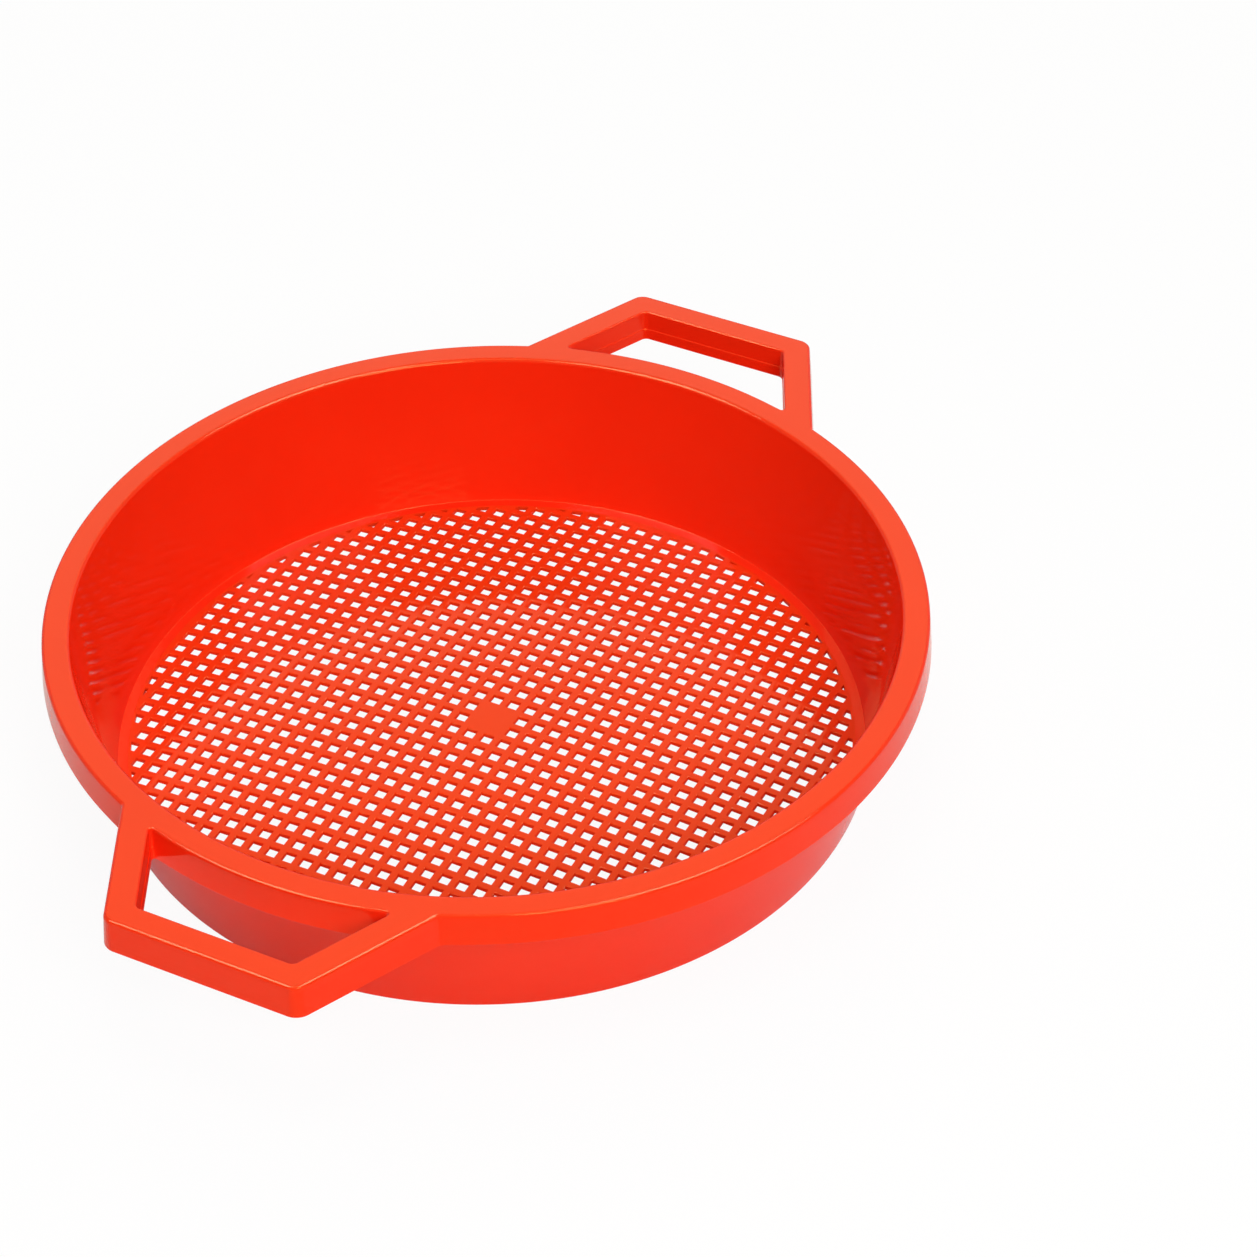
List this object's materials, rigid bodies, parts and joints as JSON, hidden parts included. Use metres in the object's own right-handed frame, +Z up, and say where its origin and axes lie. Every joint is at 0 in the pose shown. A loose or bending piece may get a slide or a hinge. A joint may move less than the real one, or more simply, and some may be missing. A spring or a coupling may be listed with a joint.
{
  "type": "sand sieve",
  "caption": "Round moulded sand sieve: tapered tub with a crowned square-mesh floor, a flat rim with a turned-down skirt, and trapezoid loop handles on opposite sides.",
  "frame": {"origin": "on the ground under the middle of the tub", "axes": "+Z up through the mouth, X along the two handles"},
  "size_m": [0.398, 0.322, 0.0625],
  "materials": {
    "red_polypropylene": "smooth moulded gloss"
  },
  "bodies": {
    "root": {"side_wall": "red_polypropylene", "rim_flange": "red_polypropylene", "rim_skirt": "red_polypropylene", "floor_border": "red_polypropylene", "mesh_front_left": "red_polypropylene", "mesh_front_right": "red_polypropylene", "mesh_back_left": "red_polypropylene", "mesh_back_right": "red_polypropylene", "left_handle": "red_polypropylene", "right_handle": "red_polypropylene"}
  },
  "joints": []
}
